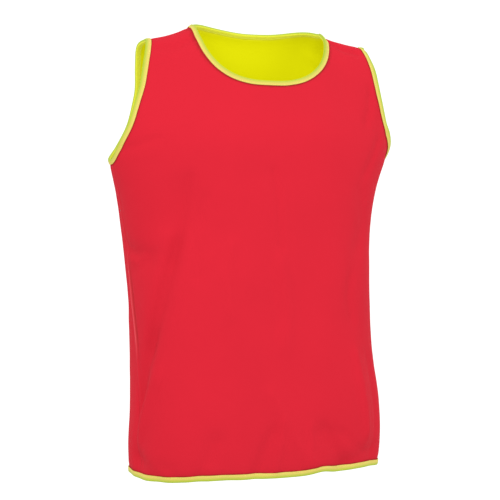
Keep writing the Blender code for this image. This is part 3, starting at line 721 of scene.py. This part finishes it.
def add_layer(name, side, net, depth):
    """One layer of a panel, its outside at a depth under the outer layer's outside."""
    points, flat, faces, away = net
    angles = ring_angle(side, points[:, 0])
    places, normals = worn(angles, points[:, 1], away)
    piece = add_mesh(name, places - normals * depth, [list(face) for face in faces])
    # Painted highlight: a lighter colour along the ridges over the side seams
    seam_highlight = piece.data.attributes.new("seam_highlight", "FLOAT", "POINT")
    highlight_share = along_side_seams(angles, points[:, 1], HIGHLIGHT_PLACE, HIGHLIGHT_HALF_WIDTH)
    seam_highlight.data.foreach_set("value", highlight_share.astype(np.float32))
    # Painted shade: darker beside the tapes where they bite in, along the shoulder seam (partly a darker seam),
    # and in the hollow beside each side seam's ridge
    painted_shade = np.exp(-(((away - TAPE_WIDTH - TAPE_SHADE_PLACE) / TAPE_SHADE_HALF_WIDTH) ** 2))
    seam_line_and_shade = SEAM_LINE_AND_SHADE_SHARE * np.exp(-((points[:, 1] / SEAM_LINE_AND_SHADE_HALF_WIDTH) ** 2))
    crease_shade = along_side_seams(angles, points[:, 1], CREASE_SHADE_PLACE, CREASE_SHADE_HALF_WIDTH)
    painted_shade = np.maximum(np.maximum(painted_shade, seam_line_and_shade), CREASE_SHADE_SHARE * crease_shade)
    painted_shade_layer = piece.data.attributes.new("painted_shade", "FLOAT", "POINT")
    painted_shade_layer.data.foreach_set("value", painted_shade.astype(np.float32))

    shape = bmesh.new()
    shape.from_mesh(piece.data)
    layer = shape.loops.layers.uv.new("cloth")
    shape.faces.ensure_lookup_table()
    for face in shape.faces:
        for corner in face.loops:
            corner[layer].uv = flat[corner.vert.index]
    face = shape.faces[0]
    if face.normal.dot(Vector(normals[face.verts[0].index])) < 0.0:
        bmesh.ops.reverse_faces(shape, faces=shape.faces)
    bmesh.ops.join_triangles(
        shape,
        faces=shape.faces,
        angle_face_threshold=radians(25.0),
        angle_shape_threshold=radians(25.0),
    )
    loose = [corner for corner in shape.verts if not corner.link_faces]
    bmesh.ops.delete(shape, geom=loose, context="VERTS")
    shape.to_mesh(piece.data)
    shape.free()

    wall = piece.modifiers.new("cloth", "SOLIDIFY")
    wall.thickness = CLOTH
    wall.offset = -1.0
    apply_modifiers(piece)
    return piece


def apply_modifiers(piece):
    """Applies the modifiers of a piece in their order."""
    bpy.ops.object.select_all(action="DESELECT")
    bpy.context.view_layer.objects.active = piece
    piece.select_set(True)
    for modifier in list(piece.modifiers):
        bpy.ops.object.modifier_apply(modifier=modifier.name)
    piece.select_set(False)


def stations(side, curve, sign):
    """Ring places of a tape along half an edge, and the places 7 mm inside it."""
    edge = evenly(curve, side, TAPE_STEP)
    if curve is hemline:
        strip = stepped_in(side, edge, TAPE_WIDTH)
        strip[0, 0], strip[-1, 0] = 0.0, 0.5 * pi
    elif curve is armhole:
        strip = stepped_in(side, edge[::-1], TAPE_WIDTH)[::-1]
        strip[0, 1], strip[-1, 0] = 0.0, 0.5 * pi
    else:
        strip = stepped_in(side, edge[::-1], TAPE_WIDTH)[::-1]
        strip[0, 0], strip[-1, 1] = 0.0, 0.0
    result = []
    for points in (edge, strip):
        result.append(np.column_stack((ring_angle(side, sign * points[:, 0]), points[:, 1])))
    return result


def closed_loop(parts):
    """Edge and strip places of the parts in turn, each shared place once."""
    edge = np.concatenate([part[0] for part in parts])
    strip = np.concatenate([part[1] for part in parts])
    places = cloth_point(edge[:, 0], edge[:, 1])
    step = np.linalg.norm(places - np.roll(places, 1, axis=0), axis=1)
    kept = step > 0.0002
    return edge[kept], strip[kept]


def edge_loop(kind):
    """Loop of a tape right round the neck, the hem or an armhole."""
    if kind in ("left", "right"):
        sign = 1.0 if kind == "left" else -1.0
        front = stations("front", armhole, sign)
        back = stations("back", armhole, sign)
        return closed_loop([front, [points[::-1] for points in back]])
    curve = neckline if kind == "neck" else hemline
    halves = {}
    for side in ("front", "back"):
        for sign in (1.0, -1.0):
            halves[side, sign] = stations(side, curve, sign)
    turned = {key: [points[::-1] for points in half] for key, half in halves.items()}
    return closed_loop([halves["front", 1.0], turned["back", 1.0], halves["back", -1.0], turned["front", -1.0]])


def leg_places(loop, share):
    """Places of the cloth under the tape at a share of its width from the edge."""
    edge, strip = loop
    angle = edge[:, 0] + turn_between(strip[:, 0], edge[:, 0]) * share
    return worn(angle, edge[:, 1] + (strip[:, 1] - edge[:, 1]) * share)


def add_tape(name, loop, fold_reach):
    """Closed ring of folded tape, sewn along both legs."""
    edge, edge_normal = leg_places(loop, 0.0)
    middle, _ = leg_places(loop, 0.5)
    along = np.roll(edge, -1, axis=0) - np.roll(edge, 1, axis=0)
    outward = unit(np.cross(along, edge_normal))
    facing = np.sign((outward * (edge - middle)).sum(axis=1))
    outward *= facing[:, None]
    swell = 1.0 + 0.16 * rough_noise(edge, 0.016, 5)[:, None]
    reach = fold_reach * (1.0 + 0.18 * rough_noise(edge, 0.021, 6)[:, None])
    wander = 0.030 * rough_noise(edge, 0.013, 7)
    centre = -0.5 * STACK

    outer, inner, under, lining = [], [], [], []
    for part, share, height in TAPE_LEG:
        place, normal = leg_places(loop, share + wander * share**2)
        lift = height * (swell if height > 0.0009 else 1.0)
        outer.append(place + normal * lift)
        inner.append(place - normal * (STACK + lift))
    for share in (1.0, 0.55, 0.15):
        place, normal = leg_places(loop, share)
        under.append(place + normal * GAP)
        lining.append(place - normal * (STACK + GAP))
    fold = []
    top = TAPE_LEG[-1][2]
    for degrees in FOLD_ANGLES:
        rise = (0.5 * STACK + top) * sin(radians(degrees))
        fold.append(edge + outward * reach * cos(radians(degrees)) + edge_normal * (centre + rise))
    wrap = [edge + outward * GAP - edge_normal * STACK, edge + outward * GAP]
    section = outer + fold + inner[::-1] + lining[1:] + wrap + under[:0:-1]
    rings = np.stack(section, axis=1)

    count, sides = rings.shape[:2]
    faces = []
    for i in range(count):
        j = (i + 1) % count
        for k in range(sides):
            m = (k + 1) % sides
            faces.append((i * sides + k, i * sides + m, j * sides + m, j * sides + k))
    piece = add_mesh(name, rings.reshape(-1, 3), faces)

    run = np.concatenate(([0.0], np.cumsum(np.linalg.norm(np.diff(edge, axis=0), axis=1))))
    total = run[-1] + np.linalg.norm(edge[0] - edge[-1])
    girth = np.linalg.norm(np.roll(rings[0], -1, axis=0) - rings[0], axis=1)
    across = np.concatenate(([0.0], np.cumsum(girth)))
    shape = bmesh.new()
    shape.from_mesh(piece.data)
    layer = shape.loops.layers.uv.new("tape")
    for face in shape.faces:
        spots = [divmod(corner.vert.index, sides) for corner in face.loops]
        closing = max(spot[0] for spot in spots) - min(spot[0] for spot in spots) > 1
        for corner, (i, k) in zip(face.loops, spots):
            u = total if closing and i == 0 else run[i]
            corner[layer].uv = (u, across[k])
    bmesh.ops.recalc_face_normals(shape, faces=shape.faces)
    shape.to_mesh(piece.data)
    shape.free()
    return piece, total


def add_stitches(name, loop):
    """Row of stitches along each leg of a tape, one stitch repeated along its groove."""
    places, normals = leg_places(loop, SEWING_PLACE)
    groove = [height for part, share, height in TAPE_LEG if share == SEWING_PLACE][0]
    ends = np.concatenate((places, places[:1]))
    run = np.concatenate(([0.0], np.cumsum(np.linalg.norm(np.diff(ends, axis=0), axis=1))))
    count = int(run[-1] / STITCH_PITCH)
    centres = (np.arange(count) + 0.5) * run[-1] / count
    share = np.array((-1.0, -0.72, -0.30, 0.30, 0.72, 1.0))
    arch = np.array((-1.1, 0.2, 0.85, 0.85, 0.2, -1.1)) * THREAD_RADIUS
    girth = np.array((0.55, 0.95, 1.0, 1.0, 0.95, 0.55)) * THREAD_RADIUS
    along = (centres[:, None] + 0.5 * STITCH_LENGTH * share[None, :]) % run[-1]
    closed_normals = np.concatenate((normals, normals[:1]))

    def at(values):
        return np.stack([np.interp(along, run, values[:, k]) for k in range(3)], axis=-1)

    line, up = at(ends), unit(at(closed_normals))
    forward = unit(np.gradient(line, axis=1))
    sideways = unit(np.cross(forward, up))
    corners, faces = [], []
    sides = 6
    for row, (lift, way) in enumerate(((groove, 1.0), (-(STACK + groove), -1.0))):
        middle = line + up * (lift + way * arch[None, :, None])
        for k in range(sides):
            turn = 2.0 * pi * (k + 0.5) / sides
            offset = sideways * cos(turn) + up * sin(turn)
            corners.append(middle + offset * girth[None, :, None])
    rings = np.stack(corners, axis=2).reshape(count, len(share), 2, sides, 3)
    rings = rings.transpose(0, 2, 1, 3, 4).reshape(-1, 3)
    step = len(share) * sides
    for stitch in range(count * 2):
        first = stitch * step
        for i in range(len(share) - 1):
            for k in range(sides):
                m = (k + 1) % sides
                low, high = first + i * sides, first + (i + 1) * sides
                faces.append((low + k, low + m, high + m, high + k))
        faces.append([first + k for k in reversed(range(sides))])
        faces.append([first + step - sides + k for k in range(sides)])
    piece = add_mesh(name, rings, faces)
    shape = bmesh.new()
    shape.from_mesh(piece.data)
    bmesh.ops.recalc_face_normals(shape, faces=shape.faces)
    shape.to_mesh(piece.data)
    shape.free()
    return piece


class Amount:
    """Number from a material's nodes, written in sums like any other number."""

    def __init__(self, finish, socket):
        self.finish = finish
        self.socket = socket

    def done(self, operation, *others):
        return self.finish.math(operation, self, *others)

    def __add__(self, other):
        return self.done("ADD", other)

    def __sub__(self, other):
        return self.done("SUBTRACT", other)

    def __mul__(self, other):
        return self.done("MULTIPLY", other)

    def __truediv__(self, other):
        return self.done("DIVIDE", other)

    def __pow__(self, other):
        return self.done("POWER", other)

    def __radd__(self, other):
        return self.finish.math("ADD", other, self)

    def __rsub__(self, other):
        return self.finish.math("SUBTRACT", other, self)

    def __rmul__(self, other):
        return self.finish.math("MULTIPLY", other, self)


class Finish:
    """Material of a cloth, and its nodes."""

    def __init__(self, name, roughness, sheen):
        self.material = bpy.data.materials.new(name)
        self.material.use_nodes = True
        self.tree = self.material.node_tree
        self.shader = self.tree.nodes["Principled BSDF"]
        self.shader.inputs["Roughness"].default_value = roughness
        self.shader.inputs["Specular IOR Level"].default_value = 0.08
        self.shader.inputs["Sheen Weight"].default_value = sheen
        self.shader.inputs["Sheen Roughness"].default_value = 0.6

    def link(self, value, socket):
        """Sets a socket to a number or a colour, or links it to another socket."""
        if isinstance(value, Amount):
            value = value.socket
        if isinstance(value, bpy.types.NodeSocket):
            self.tree.links.new(value, socket)
        else:
            socket.default_value = value

    def node(self, kind, settings=(), **sockets):
        """Node of a type, with its settings and then its sockets, named or numbered."""
        made = self.tree.nodes.new(kind)
        for name, value in dict(settings).items():
            setattr(made, name, value)
        for name, value in sockets.items():
            key = int(name[1:]) if name[0] == "n" and name[1:].isdigit() else name.replace("_", " ")
            self.link(value, made.inputs[key])
        return made

    def math(self, operation, *values):
        """Result of one Math node."""
        sockets = {"n" + str(i): value for i, value in enumerate(values)}
        made = self.node("ShaderNodeMath", {"operation": operation}, **sockets)
        return Amount(self, made.outputs[0])

    def mix(self, share, first, second):
        """Colour between two colours."""
        made = self.node("ShaderNodeMix", {"data_type": "RGBA"})
        self.link(share, made.inputs[0])
        self.link(first, made.inputs[6])
        self.link(second, made.inputs[7])
        return made.outputs[2]

    def uv(self, name):
        """Both distances of a piece's own flat map."""
        flat = self.node("ShaderNodeUVMap", {"uv_map": name})
        parts = self.node("ShaderNodeSeparateXYZ", Vector=flat.outputs[0])
        return Amount(self, parts.outputs[0]), Amount(self, parts.outputs[1])

    def clouds(self, scale, detail):
        """Soft uneven values over the object, about 0.5."""
        spot = self.node("ShaderNodeTexCoord").outputs["Object"]
        made = self.node("ShaderNodeTexNoise", Vector=spot, Scale=scale, Detail=detail)
        return Amount(self, made.outputs[0])

    def relief(self, height, distance, strength):
        """Small relief on the surface."""
        made = self.node("ShaderNodeBump", Height=height, Distance=distance, Strength=strength)
        self.link(made.outputs[0], self.shader.inputs["Normal"])


def knit_finish(name, colour, hollow_shade_colour, light_colour, highlight_colour, painted_shade_colour, painted_glow):
    """Fine mesh knit: wales and courses with a small eyelet between every pair, with painted shade in the
    eyelets and beside the tapes and seams, a painted highlight on the side seam ridges and a painted glow.
    """
    finish = Finish(name, 0.88, 0.0)
    u, v = finish.uv("cloth")
    wale, course = 0.00125, 0.00110
    across = (u * (2.0 * pi / wale)).done("COSINE")
    down = (v * (2.0 * pi / course)).done("COSINE")
    eyelet = (across * down).done("MAXIMUM", 0.0) ** 2.0
    rib = (u * (2.0 * pi / wale) + 0.6 * down).done("COSINE")
    height = rib * 0.28 - eyelet * 0.75
    finish.relief(height, 0.00012, 0.55)
    uneven = finish.clouds(9.0, 3.0)
    base = finish.mix(uneven, colour, light_colour)
    # Painted highlight along the side seam ridges, mixed towards the highlight colour
    seam_highlight = Amount(finish, finish.node("ShaderNodeAttribute", {"attribute_name": "seam_highlight"}).outputs["Fac"])
    base = finish.mix((seam_highlight * 0.55).done("MINIMUM", 0.7), base, highlight_colour)
    # Painted shade beside the tapes, along the shoulder seam and beside the side seam ridges
    painted_shade = Amount(finish, finish.node("ShaderNodeAttribute", {"attribute_name": "painted_shade"}).outputs["Fac"])
    base = finish.mix(painted_shade * 0.72, base, painted_shade_colour)
    # Painted shade: each eyelet is darkened towards the hollow shade colour
    shade = finish.mix(eyelet * 0.45, base, hollow_shade_colour)
    finish.link(shade, finish.shader.inputs["Base Color"])
    # Painted light: the cloth glows in its own colour at the painted glow strength, though it is no lamp, to
    # lift the shade inside the bib
    finish.link(shade, finish.shader.inputs["Emission Color"])
    finish.link(painted_glow, finish.shader.inputs["Emission Strength"])
    finish.link(0.82 + uneven * 0.12, finish.shader.inputs["Roughness"])
    return finish.material


def tape_finish(name, face_colour, fold_shade_colour, inner_colour, hollow_shade_colour, painted_glow_colour):
    """Ribbed binding tape, greener and darker as painted shade where it folds over the edge, plain inside the
    bib, with a painted glow.
    """
    finish = Finish(name, 0.72, 0.06)
    u, v = finish.uv("tape")
    rib = (u * (2.0 * pi / 0.00095)).done("COSINE")
    ply = (v * (2.0 * pi / 0.00110)).done("COSINE")
    finish.relief(rib * 0.5 + ply * 0.25, 0.00009, 0.6)
    leg = TAPE_WIDTH + 0.0013
    from_fold = ((v - leg - 0.0012).done("ABSOLUTE") / 0.0058).done("MINIMUM", 1.0)
    inside_leg = ((v - leg - 0.0030) / 0.0015).done("MAXIMUM", 0.0).done("MINIMUM", 1.0)
    uneven = finish.clouds(26.0, 2.0)
    # Painted shade: the tape's yellow-green turns darker towards the fold where it turns over the edge
    face = finish.mix(from_fold ** 1.5, fold_shade_colour, face_colour)
    both = finish.mix(inside_leg, face, inner_colour)
    # Painted shade in the rib grooves, and darker tone at random from the clouds
    shade = finish.mix((0.5 - rib * 0.5) * 0.10 + uneven * 0.12, both, hollow_shade_colour)
    finish.link(shade, finish.shader.inputs["Base Color"])
    # Painted light: the tape glows in its own shade, and brighter in the painted glow colour on the inner leg
    finish.link(finish.mix(inside_leg, shade, painted_glow_colour), finish.shader.inputs["Emission Color"])
    finish.link(TAPE_PAINTED_GLOW, finish.shader.inputs["Emission Strength"])
    finish.link(0.66 + uneven * 0.12, finish.shader.inputs["Roughness"])
    return finish.material


def thread_finish(name, colour, dark_colour):
    """Twisted sewing thread."""
    finish = Finish(name, 0.6, 0.0)
    uneven = finish.clouds(900.0, 1.0)
    finish.link(finish.mix(uneven, colour, dark_colour), finish.shader.inputs["Base Color"])
    finish.relief(uneven, 0.00005, 0.5)
    return finish.material


def plain_finish(name, colour, roughness, painted_glow):
    """Even matte surface of the studio."""
    finish = Finish(name, roughness, 0.0)
    finish.link(colour, finish.shader.inputs["Base Color"])
    finish.link(colour, finish.shader.inputs["Emission Color"])
    finish.link(painted_glow, finish.shader.inputs["Emission Strength"])
    return finish.material


def dress(piece, material, slot, *nodes):
    """Gives a piece its finish, its body and the solids that it stands for."""
    piece.data.materials.append(material)
    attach(piece, "root")
    if nodes:
        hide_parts(*nodes)


def add_area_light(name, place, target, size, power, colour):
    """Softbox that faces a place."""
    bpy.ops.object.light_add(type="AREA", location=place)
    light = bpy.context.object
    light.name = name
    light.data.shape = "DISK"
    light.data.size = size
    light.data.energy = power
    light.data.color = colour
    way = Vector(target) - Vector(place)
    light.rotation_euler = way.to_track_quat("-Z", "Y").to_euler()
    light.select_set(False)
    return light


def add_studio():
    """Camera, pale floor, white surroundings and soft lights."""
    turn = radians(CAMERA_TURN)
    place = (-CAMERA_DISTANCE * sin(turn), -CAMERA_DISTANCE * cos(turn), CAMERA_HEIGHT)
    bpy.ops.object.camera_add(location=place, rotation=(0.5 * pi, 0.0, -turn))
    camera = bpy.context.object
    camera.data.sensor_width = 36.0
    camera.data.lens = CAMERA_LENS
    camera.data.shift_x, camera.data.shift_y = CAMERA_SHIFT
    camera.select_set(False)
    bpy.context.scene.camera = camera

    bpy.ops.mesh.primitive_circle_add(
        vertices=96, radius=3.2, fill_type="NGON", location=(0.0, 0.0, FLOOR_HEIGHT)
    )
    floor = bpy.context.object
    floor.name = "floor"
    floor.data.materials.append(plain_finish("pale_floor", (0.74, 0.74, 0.74, 1.0), 0.9, 0.0))
    floor.select_set(False)

    world = bpy.data.worlds.new("white_room")
    world.use_nodes = True
    background = world.node_tree.nodes["Background"]
    background.inputs["Color"].default_value = (1.0, 1.0, 1.0, 1.0)
    background.inputs["Strength"].default_value = 1.16
    bpy.context.scene.world = world
    bpy.context.scene.view_settings.view_transform = "Standard"

    chest = (0.0, 0.0, -0.25)
    add_area_light("key_light", (-2.3, -1.8, 1.20), chest, 1.0, 40.0, (1.0, 0.99, 0.98))
    add_area_light("front_light", (-0.9, -2.5, 1.20), chest, 1.4, 14.0, (1.0, 1.0, 1.0))
    add_area_light("fill_light", (1.9, -2.2, 0.80), chest, 1.8, 31.0, (0.98, 0.99, 1.0))


def main():
    # Knit colours in turn: cloth, painted shade in the eyelets, lighter tone at random, painted highlight on
    # the side seam ridges, painted shade beside the tapes and seams, and the strength of the painted glow
    red = knit_finish(
        "red_mesh_knit",
        (0.442, 0.0104, 0.0222, 1),
        (0.310, 0.0050, 0.0120, 1),
        (0.488, 0.0127, 0.0256, 1),
        (0.630, 0.0900, 0.1050, 1),
        (0.170, 0.0120, 0.0060, 1),
        0.0,
    )
    yellow = knit_finish(
        "yellow_mesh_knit",
        (0.385, 0.378, 0.000, 1),
        (0.320, 0.325, 0.000, 1),
        (0.405, 0.396, 0.000, 1),
        (0.460, 0.460, 0.020, 1),
        (0.385, 0.370, 0.010, 1),
        0.75,
    )
    # Tape colours in turn: face, painted shade at the fold, inner leg, painted shade in the rib grooves,
    # painted glow of the inner leg
    tape = tape_finish(
        "binding_tape_weave",
        (0.462, 0.380, 0.085, 1),
        (0.262, 0.356, 0.021, 1),
        (0.490, 0.510, 0.015, 1),
        (0.240, 0.215, 0.034, 1),
        (0.820, 0.810, 0.080, 1),
    )
    thread = thread_finish("binding_thread", (0.80, 0.74, 0.16, 1), (0.64, 0.62, 0.08, 1))

    for side in ("front", "back"):
        net = panel_net(side)
        outer = add_layer(side + "_red_cloth", side, net, 0.0)
        inner = add_layer(side + "_yellow_cloth", side, net, INNER_LAYER)
        dress(outer, red, "red_cloth", side + "_outer")
        dress(inner, yellow, "yellow_cloth", side + "_inner")

    tapes = (
        ("neck_tape", "neck", "neck_binding"),
        ("hem_tape", "hem", "hem_binding"),
        ("left_armhole_tape", "left", "armhole_binding_left"),
        ("right_armhole_tape", "right", "armhole_binding_right"),
    )
    for name, kind, node in tapes:
        loop = edge_loop(kind)
        piece, length = add_tape(name, loop, FOLD_REACH[kind])
        stitches = add_stitches(name + "_stitches", loop)
        dress(piece, tape, "binding_tape", node)
        dress(stitches, thread, "binding_tape")

    add_studio()


main()
